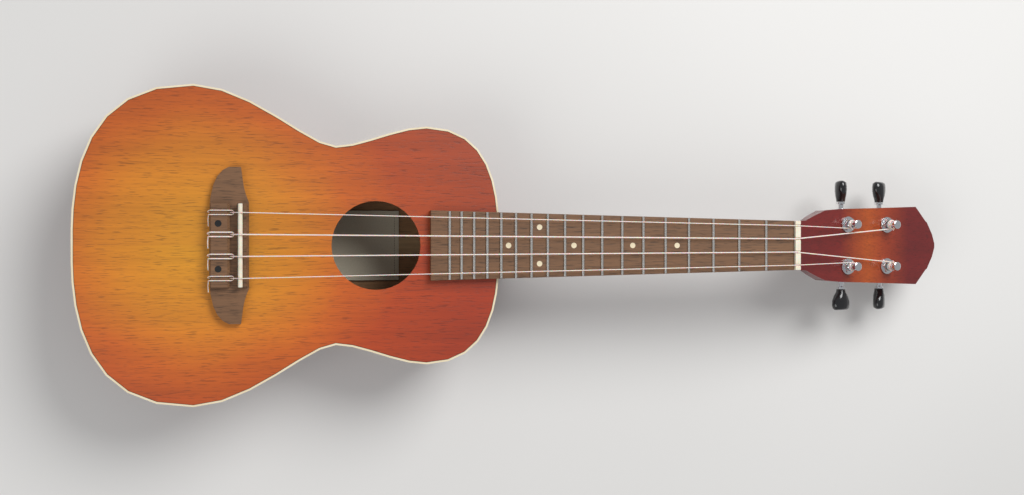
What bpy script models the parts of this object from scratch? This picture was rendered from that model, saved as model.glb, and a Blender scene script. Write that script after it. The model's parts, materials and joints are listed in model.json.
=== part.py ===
"""Concert ukulele lying on its back.

+X runs from the saddle towards the headstock, +Y to the bass side and +Z out of the soundboard.
The origin is on the outer face of the back, on the centreline, under the crown of the saddle.
"""

import math

import bmesh
import bpy
from mathutils import Matrix, Vector

MM = 0.001
GAP = 0.3 * MM  # clearance between two pieces that touch

# Strings and scale
SCALE_LENGTH = 380 * MM
COMPENSATION = 1.5 * MM
JOINT_FRET = 14
FRET_COUNT = 18
STRING_SPREAD_NUT = 27.8 * MM
STRING_SPREAD_SADDLE = 42.1 * MM
ACTION = 2.6 * MM  # string above the crown of the twelfth fret
NUT_ACTION = 0.5 * MM  # string above the first crown's height, at the nut

# Body
BODY_LENGTH = 275 * MM
BODY_DEPTH = 66 * MM
LOWER_X = -29.5 * MM
LOWER_HALF = 103.6 * MM
WAIST_X = 61.2 * MM
WAIST_HALF = 65.3 * MM
UPPER_X = 121.2 * MM
UPPER_HALF = 79.1 * MM
TAIL_PULL = 24.8 * MM
LOWER_PULL_TAIL = 77.1 * MM
LOWER_PULL_WAIST = 36.1 * MM
WAIST_PULL_LOWER = 17.1 * MM
WAIST_PULL_UPPER = 16.5 * MM
UPPER_PULL_WAIST = 18.9 * MM
UPPER_PULL_NECK = 49.6 * MM
NECK_END_PULL = 26.5 * MM
SPAN_STEPS = (9, 6, 5, 9)  # facets of each span of the outline
TOP_THICKNESS = 2.2 * MM
BACK_THICKNESS = 2.5 * MM
SIDE_THICKNESS = 2.2 * MM
BINDING_WIDTH = 1.2 * MM
LINING_WIDTH = 5.0 * MM
LINING_FOOT = 2.0 * MM
LINING_HEIGHT = 10.0 * MM
SOUNDHOLE_X = 87.8 * MM
SOUNDHOLE_RADIUS = 29.4 * MM
NECK_BLOCK_LENGTH = 22.0 * MM
NECK_BLOCK_WIDTH = 62.0 * MM
TAIL_BLOCK_LENGTH = 14.0 * MM
TAIL_BLOCK_WIDTH = 66.0 * MM

# Bracing
BRACE_WIDTH = 6.0 * MM
BRACE_HEIGHT = 8.0 * MM
BRACE_END_HEIGHT = 2.5 * MM
BRACE_SCALLOP = 18.0 * MM
HOLE_BRACE_OFFSET = 6.0 * MM  # from the soundhole's edge to the middle of a brace beside it
FAN_NEAR_Y = 36.0 * MM
FAN_FAR_Y = 52.0 * MM
FAN_END_X = -76.0 * MM
BACK_BRACE_WIDTH = 7.0 * MM
BACK_BRACE_HEIGHT = 9.0 * MM
BACK_BRACE_X = (-62.0 * MM, 28.0 * MM, 134.0 * MM)
BACK_STRIP_WIDTH = 12.0 * MM
BACK_STRIP_THICKNESS = 1.5 * MM
BRIDGE_PLATE_MARGIN = 5.0 * MM
BRIDGE_PLATE_WIDTH = 60.0 * MM
BRIDGE_PLATE_THICKNESS = 2.0 * MM

# Bridge and saddle
BRIDGE_SPAN = 101.0 * MM
BRIDGE_BACK = 19.3 * MM  # behind the saddle's crown
BRIDGE_FRONT = 5.5 * MM  # in front of it
BRIDGE_TIP_BACK = 7.0 * MM
BRIDGE_TIP_FRONT = 1.5 * MM
BRIDGE_HEIGHT = 3.9 * MM
WING_START = 0.8  # share of the tie block's half span at which the back edge leaves its line
WING_START_PULL = 1.45
WING_TIP_PULL = (7.0 * MM, 2.0 * MM)
WING_WAIST_OUTER = 6.0 * MM
WING_WAIST_INNER = 9.0 * MM
WING_ROOT = 1.0 * MM
TIE_BLOCK_SPAN = 53.6 * MM
TIE_BLOCK_RISE = 4.2 * MM
TIE_BLOCK_LENGTH = 12.4 * MM
TIE_BLOCK_CHAMFER = 1.6 * MM
BLOCK_SETBACK = 0.3 * MM
FRONT_STRIP_RISE = 2.6 * MM
TIE_HOLE_RADIUS = 1.1 * MM
TIE_HOLE_RISE = 1.3 * MM
SADDLE_THICKNESS = 3.0 * MM
SADDLE_SEAT = 2.4 * MM

# Neck, fingerboard, frets and nut
BOARD_LENGTH = 258.2 * MM
BOARD_THICKNESS = 5.2 * MM
BOARD_NUT_WIDTH = 34.6 * MM
BOARD_END_WIDTH = 46.6 * MM
CROWN_WIDTH = 2.0 * MM
CROWN_HEIGHT = 1.0 * MM
TANG_WIDTH = 0.5 * MM
TANG_DEPTH = 1.6 * MM
FRET_END_SETBACK = 0.3 * MM
NUT_LENGTH = 4.5 * MM
NUT_RISE = 0.7 * MM  # nut above the bottoms of its slots
NECK_DEPTH_NUT = 13.5 * MM
NECK_DEPTH_HEEL = 15.5 * MM
HEEL_LENGTH = 48.0 * MM
HEEL_CAP_LENGTH = 19.0 * MM
HEEL_TAPER = 0.46
HEEL_STATIONS = (  # distance past the heel's cap, share of the drop to the back that is left
    (0, 1.0),
    (1.5 * MM, 0.86),
    (4.0 * MM, 0.62),
    (8.5 * MM, 0.36),
    (15.0 * MM, 0.15),
)
NECK_STATIONS = (0.5, 0.93)  # shares of the length from the heel to the nut
NECK_SQUARENESS = 2.3  # 2 is an ellipse, more is squarer
HEEL_SQUARENESS_RISE = 1.0
HEAD_SQUARENESS = 2.6
HEAD_SQUARENESS_RISE = 15.0
RING_POINTS = 14

# Headstock: (distance from the nut, half width) along its face
HEAD_ANGLE = math.radians(14)
HEAD_THICKNESS = 12.5 * MM
HEAD_PLAN = (
    (0.0, 17.3 * MM),
    (7.8 * MM, 17.8 * MM),
    (15.9 * MM, 21.4 * MM),
    (25.4 * MM, 25.2 * MM),
    (40.5 * MM, 26.4 * MM),
    (76.2 * MM, 27.6 * MM),
    (111.0 * MM, 28.9 * MM),
    (120.9 * MM, 18.1 * MM),
    (122.1 * MM, 17.4 * MM),
    (127.2 * MM, 8.5 * MM),
    (129.6 * MM, 1.5 * MM),
)

# Tuning machines
POST_NEAR = 45.7 * MM
POST_FAR = 82.4 * MM
POST_OFFSET = 15.2 * MM
POST_RADIUS = 3.0 * MM
POST_WAIST_RADIUS = 2.3 * MM
POST_HEIGHT = 12.0 * MM
POST_CAP_RADIUS = 3.15 * MM
POST_CAP_HEIGHT = 1.9 * MM
POST_HOLE_RADIUS = 1.1 * MM
RUNNING = 0.2 * MM  # radial clearance of a turning shaft
BUSHING_WALL = 0.9 * MM
WASHER_RADIUS = 5.8 * MM
WASHER_THICKNESS = 0.8 * MM
HEX_RADIUS = 5.0 * MM
HEX_HEIGHT = 2.1 * MM
GEAR_TEETH = 14
GEAR_RADIUS = 6.6 * MM  # at the pitch line
GEAR_THICKNESS = 2.6 * MM
TOOTH_UP = 0.8 * MM
TOOTH_DOWN = 1.0 * MM
TOOTH_ROOT_WIDTH = 1.5 * MM
TOOTH_TIP_WIDTH = 0.6 * MM
WORM_RADIUS = 3.4 * MM  # at the pitch line
THREAD_UP = 0.7 * MM
THREAD_DOWN = 0.95 * MM
THREAD_WIDTH = 1.2 * MM
THREAD_SINK = 0.3 * MM  # into the worm's core
WORM_TURNS = 3.0
SHAFT_RADIUS = 2.0 * MM
SHAFT_SNOUT = 3.6 * MM  # bare shaft between the housing's snout and its collar
COLLAR_RADIUS = 3.2 * MM
COLLAR_THICKNESS = 1.2 * MM
SPINDLE_RADIUS = 1.5 * MM
SPINDLE_LENGTH = 9.0 * MM
HOUSING_WALL = 1.0 * MM
HOUSING_CORNER = 5.0 * MM
HOUSING_ROOM = 0.5 * MM  # round the gear and the worm
SNOUT_LENGTH = 3.2 * MM
SNOUT_WALL = 1.1 * MM
LUG_LENGTH = 5.5 * MM
LUG_WIDTH = 6.5 * MM
LUG_THICKNESS = 1.4 * MM
LUG_HOLE_RADIUS = 1.2 * MM
BUTTON_LENGTH = 15.4 * MM
BUTTON_WIDTH = 15.0 * MM
BUTTON_THICKNESS = 8.6 * MM
BUTTON_NECK = 6.4 * MM
BUTTON_STATIONS = (  # shares of its length, and of the growth from its neck in width and thickness
    (0.0, 0.0, 0.0),
    (0.14, 0.08, 0.25),
    (0.32, 0.55, 0.75),
    (0.55, 0.93, 1.0),
    (0.76, 1.0, 0.96),
    (0.92, 0.86, 0.72),
    (1.0, 0.55, 0.3),
)
TURN_POINTS = 14
WORM_POINTS = 12

# name, string diameter, side of the centreline, post, turn of the button
COURSES = (
    ("g", 0.61 * MM, 1.5, "near", 60),
    ("c", 0.91 * MM, 0.5, "far", 25),
    ("e", 0.81 * MM, -0.5, "far", -40),
    ("a", 0.61 * MM, -1.5, "near", 0),
)
WINDING_TURNS = 2.25
WINDING_GAP = 0.5 * MM
WINDING_FOOT = 1.0 * MM  # lowest turn above the hexagon
WINDING_POINTS = 24
TIE_OFFSET = 1.4 * MM
TIE_TAIL = 9.0 * MM
STRING_TAIL = 2.2 * MM

NUT_X = SCALE_LENGTH + COMPENSATION
BOARD_END_X = NUT_X - BOARD_LENGTH
BOARD_BOTTOM = BODY_DEPTH + GAP
BOARD_TOP = BOARD_BOTTOM + BOARD_THICKNESS
FRET_TOP = BOARD_TOP + GAP + CROWN_HEIGHT
STRING_AT_NUT = FRET_TOP + NUT_ACTION
STRING_SLOPE = (ACTION - NUT_ACTION) / (SCALE_LENGTH / 2)
STRING_AT_SADDLE = STRING_AT_NUT + STRING_SLOPE * NUT_X
SADDLE_TOP = STRING_AT_SADDLE - GAP
BRIDGE_TOP = BODY_DEPTH + GAP + BRIDGE_HEIGHT
TIE_TOP = BRIDGE_TOP + TIE_BLOCK_RISE
TIE_BACK_X = BLOCK_SETBACK - BRIDGE_BACK
TIE_FRONT_X = TIE_BACK_X + TIE_BLOCK_LENGTH
TIE_HOLE_Z = BRIDGE_TOP + TIE_HOLE_RISE
WOOD_TOP = BODY_DEPTH - TOP_THICKNESS - GAP  # upper edge of what carries the soundboard
WOOD_BOTTOM = BACK_THICKNESS + GAP
INNER_RIM = SIDE_THICKNESS + GAP
LINED_RIM = INNER_RIM + LINING_WIDTH + GAP
HEAD_X = NUT_X + NUT_LENGTH
HEX_TOP = GAP + WASHER_THICKNESS + HEX_HEIGHT
HOUSING_TOP = -HEAD_THICKNESS - GAP
WORM_OUTER = WORM_RADIUS + THREAD_UP
WORM_Z = HOUSING_TOP - HOUSING_ROOM - WORM_OUTER - LUG_THICKNESS
HOUSING_FLOOR = WORM_Z - WORM_OUTER - HOUSING_ROOM
WORM_T = GEAR_RADIUS + WORM_RADIUS
WORM_PITCH = 2 * math.pi * GEAR_RADIUS / GEAR_TEETH
ROOM_HALF = GEAR_RADIUS + TOOTH_UP + HOUSING_ROOM
SNOUT_END = ROOM_HALF + HOUSING_WALL + SNOUT_LENGTH
COLLAR_AT = SNOUT_END + SHAFT_SNOUT
BUTTON_AT = COLLAR_AT + COLLAR_THICKNESS + GAP

WALNUT = ("walnut", (0.16, 0.065, 0.028), 0.45, 0.0)
SUNBURST = ("sunburst_top", (0.62, 0.16, 0.025), 0.35, 0.0)
CHERRY = ("cherry_stain", (0.22, 0.012, 0.014), 0.35, 0.0)
SPRUCE = ("bare_spruce", (0.62, 0.42, 0.22), 0.7, 0.0)
CREAM = ("cream_binding", (0.82, 0.72, 0.5), 0.35, 0.0)
BONE = ("bone", (0.86, 0.78, 0.62), 0.4, 0.0)
NICKEL = ("nickel_silver", (0.72, 0.7, 0.66), 0.25, 1.0)
CHROME = ("chrome", (0.75, 0.76, 0.78), 0.12, 1.0)
BLACK = ("black_plastic", (0.01, 0.01, 0.011), 0.15, 0.0)
NYLON = ("nylon", (0.85, 0.68, 0.62), 0.3, 0.0)


def clear_scene():
    for old in list(bpy.data.objects):
        bpy.data.objects.remove(old, do_unlink=True)


def material(finish):
    name, colour, roughness, metallic = finish
    made = bpy.data.materials.get(name) or bpy.data.materials.new(name)
    made.use_nodes = True
    shader = made.node_tree.nodes["Principled BSDF"]
    shader.inputs["Base Color"].default_value = (*colour, 1.0)
    shader.inputs["Roughness"].default_value = roughness
    shader.inputs["Metallic"].default_value = metallic
    return made


def add_object(name, bm, finish, parent=None, location=(0, 0, 0), smooth=False):
    """Closes a bmesh into a named object with its faces pointing out."""
    bmesh.ops.remove_doubles(bm, verts=bm.verts, dist=1e-7)
    bmesh.ops.recalc_face_normals(bm, faces=bm.faces)
    mesh = bpy.data.meshes.new(name)
    bm.to_mesh(mesh)
    bm.free()
    if smooth:
        mesh.shade_smooth()
        mesh.set_sharp_from_angle(angle=math.radians(35))
    mesh.materials.append(material(finish))
    made = bpy.data.objects.new(name, mesh)
    bpy.context.scene.collection.objects.link(made)
    made.parent = parent
    made.location = location
    return made


def helper(name, bm, parent=None, location=(0, 0, 0)):
    """A shape that only cuts or joins another."""
    made = add_object(name, bm, SPRUCE, parent, location)
    made.hide_render = True
    made.display_type = "WIRE"
    return made


def combine(target, other, operation):
    modifier = target.modifiers.new(other.name, "BOOLEAN")
    modifier.operation = operation
    modifier.solver = "EXACT"
    modifier.object = other


def loft(rings, closed=False):
    """A bmesh skinned over rings of points, closed on itself or with a face on each end."""
    bm = bmesh.new()
    loops = [[bm.verts.new(point) for point in ring] for ring in rings]
    pairs = list(zip(loops, loops[1:]))
    if closed:
        pairs.append((loops[-1], loops[0]))
    for first, second in pairs:
        count = len(first)
        for i in range(count):
            j = (i + 1) % count
            bm.faces.new((first[i], first[j], second[j], second[i]))
    if not closed:
        bm.faces.new(loops[0])
        bm.faces.new(loops[-1])
    return bm


def rectangle(low_x, high_x, half_width):
    """The plan of a rectangle centred on the centreline."""
    return (
        (low_x, -half_width),
        (high_x, -half_width),
        (high_x, half_width),
        (low_x, half_width),
    )


def prism(plan, low, high):
    """A bmesh of a plan of (x, y) points between two heights."""
    return loft([[(x, y, z) for x, y in plan] for z in (low, high)])


def profile_solid(profile, half_width):
    """A bmesh of an (x, z) profile, as wide to each side as half_width(x) says."""
    rings = [[(x, side * half_width(x), z) for x, z in profile] for side in (1, -1)]
    return loft(rings)


def turned(profile, points, axis="Z"):
    """A bmesh of a (radius, height) profile turned round an axis, with a face on each end."""
    bm = loft(
        [
            [
                (radius * math.cos(turn), radius * math.sin(turn), height)
                for turn in (2 * math.pi * i / points for i in range(points))
            ]
            for radius, height in profile
        ]
    )
    if axis == "Y":
        bm.transform(Matrix.Rotation(math.radians(-90), 4, "X"))
    return bm


def rod(radius, low, high, points, axis="Z"):
    return turned([(radius, low), (radius, high)], points, axis)


def bezier(start, pull_a, pull_b, end, steps):
    """Points of a curve and its unit directions, without its end."""
    stations = []
    for i in range(steps):
        t = i / steps
        s = 1 - t
        point = s**3 * start + 3 * s * s * t * pull_a + 3 * s * t * t * pull_b + t**3 * end
        way = s * s * (pull_a - start) + 2 * s * t * (pull_b - pull_a) + t * t * (end - pull_b)
        stations.append((point, way.normalized()))
    return stations


def fret_x(number):
    return NUT_X - SCALE_LENGTH * (1 - 2 ** (-number / 12))


BODY_END_X = fret_x(JOINT_FRET)
TAIL_X = BODY_END_X - BODY_LENGTH


def half_outline():
    """Stations (point, outward direction) of the bass half of the body, from tail to neck."""
    along = Vector((1, 0))
    across = Vector((0, 1))
    tail = Vector((TAIL_X, 0))
    lower = Vector((LOWER_X, LOWER_HALF))
    waist = Vector((WAIST_X, WAIST_HALF))
    upper = Vector((UPPER_X, UPPER_HALF))
    neck = Vector((BODY_END_X, 0))
    spans = (
        (tail, tail + across * TAIL_PULL, lower - along * LOWER_PULL_TAIL, lower),
        (lower, lower + along * LOWER_PULL_WAIST, waist - along * WAIST_PULL_LOWER, waist),
        (waist, waist + along * WAIST_PULL_UPPER, upper - along * UPPER_PULL_WAIST, upper),
        (upper, upper + along * UPPER_PULL_NECK, neck + across * NECK_END_PULL, neck),
    )
    stations = []
    for span, steps in zip(spans, SPAN_STEPS):
        for point, way in bezier(*span, steps):
            stations.append((point, Vector((-way.y, way.x))))
    stations.append((neck, along))
    return stations


HALF = half_outline()


def inset_half(inset, end_y=0.0):
    """The bass half of the outline moved inwards, with its two ends this far off the centre."""
    points = [point - outward * inset for point, outward in HALF]
    points[0].y = end_y
    points[-1].y = end_y
    return points


def inset_plan(inset):
    """The whole outline moved inwards."""
    bass = inset_half(inset)
    treble = [Vector((point.x, -point.y)) for point in reversed(bass[1:-1])]
    return bass + treble


def rim_solid(section):
    """A hoop round the body with a section of (inset, height) corners."""
    plans = [inset_plan(inset) for inset, _ in section]
    rings = [
        [(plan[i].x, plan[i].y, height) for plan, (_, height) in zip(plans, section)]
        for i in range(len(plans[0]))
    ]
    return loft(rings, closed=True)


def half_width_at(x, inset):
    """Half width of the body at x, inside a rim of this thickness."""
    points = inset_half(inset)
    for a, b in zip(points, points[1:]):
        if a.x <= x <= b.x:
            return a.y + (b.y - a.y) * (x - a.x) / (b.x - a.x)
    return 0.0


def end_x_at(y, inset, neck_end):
    """Where the rim's inner wall crosses y, at the neck end or at the tail."""
    points = inset_half(inset)
    if neck_end:
        points.reverse()
    for a, b in zip(points, points[1:]):
        if a.y <= abs(y) <= b.y:
            return a.x + (b.x - a.x) * (abs(y) - a.y) / (b.y - a.y)
    return points[0].x


def make_plates():
    plan = inset_plan(BINDING_WIDTH + GAP)
    top = add_object("soundboard", prism(plan, BODY_DEPTH - TOP_THICKNESS, BODY_DEPTH), SUNBURST)
    hole = helper(
        "soundhole_cutter",
        rod(SOUNDHOLE_RADIUS, BODY_DEPTH - 2 * TOP_THICKNESS, BODY_DEPTH + TOP_THICKNESS, 36),
        location=(SOUNDHOLE_X, 0, 0),
    )
    combine(top, hole, "DIFFERENCE")
    add_object("back_plate", prism(plan, 0, BACK_THICKNESS), CHERRY)


def make_rims():
    for name, side in (("side_bass", 1), ("side_treble", -1)):
        outer = inset_half(0, GAP / 2)
        inner = inset_half(SIDE_THICKNESS, GAP / 2)
        rings = [
            [
                (a.x, side * a.y, WOOD_BOTTOM),
                (a.x, side * a.y, WOOD_TOP),
                (b.x, side * b.y, WOOD_TOP),
                (b.x, side * b.y, WOOD_BOTTOM),
            ]
            for a, b in zip(outer, inner)
        ]
        add_object(name, loft(rings), CHERRY, smooth=True)
    for name, low, high in (
        ("top_binding", BODY_DEPTH - TOP_THICKNESS, BODY_DEPTH),
        ("back_binding", 0, BACK_THICKNESS),
    ):
        section = ((0, low), (0, high), (BINDING_WIDTH, high), (BINDING_WIDTH, low))
        add_object(name, rim_solid(section), CREAM, smooth=True)
    for name, seat, foot in (
        ("top_lining", WOOD_TOP, WOOD_TOP - LINING_HEIGHT),
        ("back_lining", WOOD_BOTTOM, WOOD_BOTTOM + LINING_HEIGHT),
    ):
        section = (
            (INNER_RIM, seat),
            (INNER_RIM, foot),
            (INNER_RIM + LINING_FOOT, foot),
            (INNER_RIM + LINING_WIDTH, seat),
        )
        add_object(name, rim_solid(section), SPRUCE)


def make_block(name, neck_end, length, width):
    """An end block, notched top and bottom where the linings run past it."""
    lining_levels = (WOOD_BOTTOM + LINING_HEIGHT + GAP, WOOD_TOP - LINING_HEIGHT - GAP)
    way = -1 if neck_end else 1
    face_x = end_x_at(0, INNER_RIM, neck_end) + way * length
    ys = [width * (i / 6 - 0.5) for i in range(7)]

    def ring(inset, z):
        back = [(end_x_at(y, inset, neck_end), y, z) for y in ys]
        return back + [(face_x, width / 2, z), (face_x, -width / 2, z)]

    rings = [
        ring(LINED_RIM, WOOD_BOTTOM),
        ring(LINED_RIM, lining_levels[0]),
        ring(INNER_RIM, lining_levels[0]),
        ring(INNER_RIM, lining_levels[1]),
        ring(LINED_RIM, lining_levels[1]),
        ring(LINED_RIM, WOOD_TOP),
    ]
    add_object(name, loft(rings), SPRUCE)


def brace(start, end, width, height, seat, way):
    """A bar between two plan points, glued at seat and standing off it, lower at its ends."""
    run = Vector(end) - Vector(start)
    along = run.normalized()
    across = Vector((-along.y, along.x)) * (width / 2)
    scallop = min(BRACE_SCALLOP, run.length / 3)
    rings = []
    for distance, rise in (
        (0, BRACE_END_HEIGHT),
        (scallop, height),
        (run.length - scallop, height),
        (run.length, BRACE_END_HEIGHT),
    ):
        at = Vector(start) + along * distance
        far = seat + way * rise
        rings.append(
            [
                (at.x + across.x, at.y + across.y, seat),
                (at.x - across.x, at.y - across.y, seat),
                (at.x - across.x, at.y - across.y, far - way * width / 4),
                (at.x, at.y, far),
                (at.x + across.x, at.y + across.y, far - way * width / 4),
            ]
        )
    return loft(rings)


def brace_reach(x, width):
    """How far a cross brace at x reaches before its corners meet the lining."""
    narrow = min(half_width_at(x - width / 2, LINED_RIM), half_width_at(x + width / 2, LINED_RIM))
    return narrow - GAP


def make_bracing():
    behind_hole = SOUNDHOLE_X - SOUNDHOLE_RADIUS - HOLE_BRACE_OFFSET
    before_hole = SOUNDHOLE_X + SOUNDHOLE_RADIUS + HOLE_BRACE_OFFSET
    beside_hole = SOUNDHOLE_RADIUS + HOLE_BRACE_OFFSET
    reach_behind = brace_reach(behind_hole, BRACE_WIDTH)
    reach_before = brace_reach(before_hole, BRACE_WIDTH)
    bars = [((behind_hole, -reach_behind), (behind_hole, reach_behind))]
    bars.append(((before_hole, -reach_before), (before_hole, reach_before)))
    for side in (1, -1):
        bars.append(((behind_hole, side * beside_hole), (before_hole, side * beside_hole)))
        bars.append(((behind_hole, side * FAN_NEAR_Y), (FAN_END_X, side * FAN_FAR_Y)))
    shapes = [brace(a, b, BRACE_WIDTH, BRACE_HEIGHT, WOOD_TOP, -1) for a, b in bars]
    top = add_object("top_bracing", shapes[0], SPRUCE)
    for i, shape in enumerate(shapes[1:]):
        combine(top, helper(f"top_brace_{i}", shape), "UNION")

    tail_face = end_x_at(0, INNER_RIM, False) + TAIL_BLOCK_LENGTH + GAP
    neck_face = end_x_at(0, INNER_RIM, True) - NECK_BLOCK_LENGTH - GAP
    strip = rectangle(tail_face, neck_face, BACK_STRIP_WIDTH / 2)
    back = add_object(
        "back_bracing", prism(strip, WOOD_BOTTOM, WOOD_BOTTOM + BACK_STRIP_THICKNESS), SPRUCE
    )
    for i, x in enumerate(BACK_BRACE_X):
        reach = brace_reach(x, BACK_BRACE_WIDTH)
        shape = brace((x, -reach), (x, reach), BACK_BRACE_WIDTH, BACK_BRACE_HEIGHT, WOOD_BOTTOM, 1)
        combine(back, helper(f"back_brace_{i}", shape), "UNION")

    plate = rectangle(
        -BRIDGE_BACK - BRIDGE_PLATE_MARGIN,
        BRIDGE_FRONT + BRIDGE_PLATE_MARGIN,
        BRIDGE_PLATE_WIDTH / 2,
    )
    add_object(
        "bridge_plate", prism(plate, WOOD_TOP - BRIDGE_PLATE_THICKNESS, WOOD_TOP), SPRUCE
    )


def bridge_plan():
    """The outline of the bridge: straight behind the strings, with a waisted wing to each side."""
    half_block = TIE_BLOCK_SPAN / 2
    half_span = BRIDGE_SPAN / 2
    back = bezier(
        Vector((-BRIDGE_BACK, half_block * WING_START)),
        Vector((-BRIDGE_BACK, half_block * WING_START_PULL)),
        Vector((-BRIDGE_TIP_BACK - WING_TIP_PULL[0], half_span - WING_TIP_PULL[1])),
        Vector((-BRIDGE_TIP_BACK, half_span)),
        5,
    )
    front = bezier(
        Vector((BRIDGE_TIP_FRONT - WING_ROOT, half_span)),
        Vector((BRIDGE_TIP_FRONT, half_span - WING_WAIST_OUTER)),
        Vector((BRIDGE_TIP_FRONT, half_block + WING_WAIST_INNER)),
        Vector((BRIDGE_FRONT, half_block + WING_ROOT)),
        5,
    )
    bass = [point for point, _ in back]
    bass.append(Vector((-BRIDGE_TIP_BACK, half_span)))
    bass += [point for point, _ in front]
    bass.append(Vector((BRIDGE_FRONT, half_block + WING_ROOT)))
    return bass + [Vector((point.x, -point.y)) for point in reversed(bass)]


def make_bridge():
    foot = BODY_DEPTH + GAP
    bridge = add_object("bridge", prism(bridge_plan(), foot, BRIDGE_TOP), WALNUT)
    seat = SADDLE_THICKNESS / 2 + GAP
    low = BRIDGE_TOP - BRIDGE_HEIGHT / 2
    tie_profile = (
        (TIE_BACK_X, low),
        (TIE_BACK_X, TIE_TOP - TIE_BLOCK_CHAMFER / 2),
        (TIE_BACK_X + TIE_BLOCK_CHAMFER / 2, TIE_TOP),
        (TIE_FRONT_X - TIE_BLOCK_CHAMFER, TIE_TOP),
        (TIE_FRONT_X, TIE_TOP - TIE_BLOCK_CHAMFER),
        (TIE_FRONT_X, low),
    )
    strip_x = BRIDGE_FRONT - BLOCK_SETBACK
    strip_profile = (
        (seat, low),
        (seat, BRIDGE_TOP + FRONT_STRIP_RISE),
        (strip_x - TIE_BLOCK_CHAMFER, BRIDGE_TOP + FRONT_STRIP_RISE),
        (strip_x, BRIDGE_TOP + FRONT_STRIP_RISE - TIE_BLOCK_CHAMFER),
        (strip_x, low),
    )
    for name, profile in (("tie_block", tie_profile), ("front_strip", strip_profile)):
        shape = profile_solid(profile, lambda x: TIE_BLOCK_SPAN / 2)
        combine(bridge, helper(name, shape), "UNION")
    slot_floor = BRIDGE_TOP - SADDLE_SEAT
    slot = ((-seat, slot_floor), (-seat, TIE_TOP), (seat, TIE_TOP), (seat, slot_floor))
    slot_shape = profile_solid(slot, lambda x: TIE_BLOCK_SPAN / 2 + GAP)
    combine(bridge, helper("saddle_slot", slot_shape), "DIFFERENCE")
    for name, _, place, _, _ in COURSES:
        bm = rod(TIE_HOLE_RADIUS, -MM, TIE_BLOCK_LENGTH + 2 * MM, 8)
        bm.transform(Matrix.Rotation(math.radians(90), 4, "Y"))
        hole = helper(f"tie_hole_{name}", bm, location=(TIE_BACK_X, saddle_y(place), TIE_HOLE_Z))
        combine(bridge, hole, "DIFFERENCE")

    radius = SADDLE_THICKNESS / 2
    crown = [
        (radius * math.cos(turn), SADDLE_TOP - radius + radius * math.sin(turn))
        for turn in (math.radians(30 * i) for i in range(7))
    ]
    profile = crown + [(-radius, slot_floor + GAP), (radius, slot_floor + GAP)]
    add_object("saddle", profile_solid(profile, lambda x: TIE_BLOCK_SPAN / 2), BONE)


def saddle_y(place):
    return place * STRING_SPREAD_SADDLE / 3


def nut_y(place):
    return place * STRING_SPREAD_NUT / 3


def board_half(x):
    """Half width of the fingerboard at x."""
    share = (NUT_X - x) / BOARD_LENGTH
    return (BOARD_NUT_WIDTH + (BOARD_END_WIDTH - BOARD_NUT_WIDTH) * share) / 2


def make_fingerboard():
    half_slot = TANG_WIDTH / 2 + GAP
    slot_floor = BOARD_TOP - TANG_DEPTH - GAP
    profile = [(BOARD_END_X, BOARD_BOTTOM), (BOARD_END_X, BOARD_TOP)]
    for number in range(FRET_COUNT, 0, -1):
        x = fret_x(number)
        profile.append((x - half_slot, BOARD_TOP))
        profile.append((x - half_slot, slot_floor))
        profile.append((x + half_slot, slot_floor))
        profile.append((x + half_slot, BOARD_TOP))
    profile += [(NUT_X - GAP, BOARD_TOP), (NUT_X - GAP, BOARD_BOTTOM)]
    add_object("fingerboard", profile_solid(profile, board_half), WALNUT)

    for number in range(1, FRET_COUNT + 1):
        x = fret_x(number)
        foot = BOARD_TOP + GAP
        crown = [
            (x + CROWN_WIDTH / 2 * math.cos(turn), foot + CROWN_HEIGHT * math.sin(turn))
            for turn in (math.radians(36 * i) for i in range(6))
        ]
        tang = [
            (x - TANG_WIDTH / 2, foot),
            (x - TANG_WIDTH / 2, BOARD_TOP - TANG_DEPTH),
            (x + TANG_WIDTH / 2, BOARD_TOP - TANG_DEPTH),
            (x + TANG_WIDTH / 2, foot),
        ]
        shape = profile_solid(crown + tang, lambda at: board_half(at) - FRET_END_SETBACK)
        add_object(f"fret_{number:02d}", shape, NICKEL, smooth=True)


def make_nut():
    """The nut, with a slot for each string whose bottom falls away towards the headstock."""
    foot = BODY_DEPTH + GAP
    fall = NUT_LENGTH * math.tan(HEAD_ANGLE)
    floor = STRING_AT_NUT - GAP
    half = BOARD_NUT_WIDTH / 2
    rings = []
    for x, drop in ((NUT_X, 0), (HEAD_X, fall)):
        ring = [(x, -half, foot), (x, -half, floor + NUT_RISE - drop)]
        for _, diameter, place, _, _ in reversed(COURSES):
            reach = diameter / 2 + GAP
            y = nut_y(place)
            ring.append((x, y - reach - NUT_RISE / 2, floor + NUT_RISE - drop))
            ring.append((x, y - reach, floor - drop))
            ring.append((x, y + reach, floor - drop))
            ring.append((x, y + reach + NUT_RISE / 2, floor + NUT_RISE - drop))
        ring += [(x, half, floor + NUT_RISE - drop), (x, half, foot)]
        rings.append(ring)
    add_object("nut", loft(rings), BONE)


def neck_ring(half, depth, squareness, taper):
    """(across, down) points of a section of the neck, from one upper edge round to the other."""
    points = []
    for i in range(RING_POINTS):
        turn = math.pi * i / (RING_POINTS - 1)
        across = abs(math.cos(turn)) ** (2 / squareness) * math.copysign(1, math.cos(turn))
        down = math.sin(turn) ** (2 / squareness) if 0 < i < RING_POINTS - 1 else 0.0
        points.append((half * across * (1 - taper * down), -depth * down))
    return points


def head_frame():
    """The frame of the headstock's face: along it, across it and out of it, from the nut."""
    return Matrix.Translation((HEAD_X, 0, BODY_DEPTH)) @ Matrix.Rotation(HEAD_ANGLE, 4, "Y")


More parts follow.
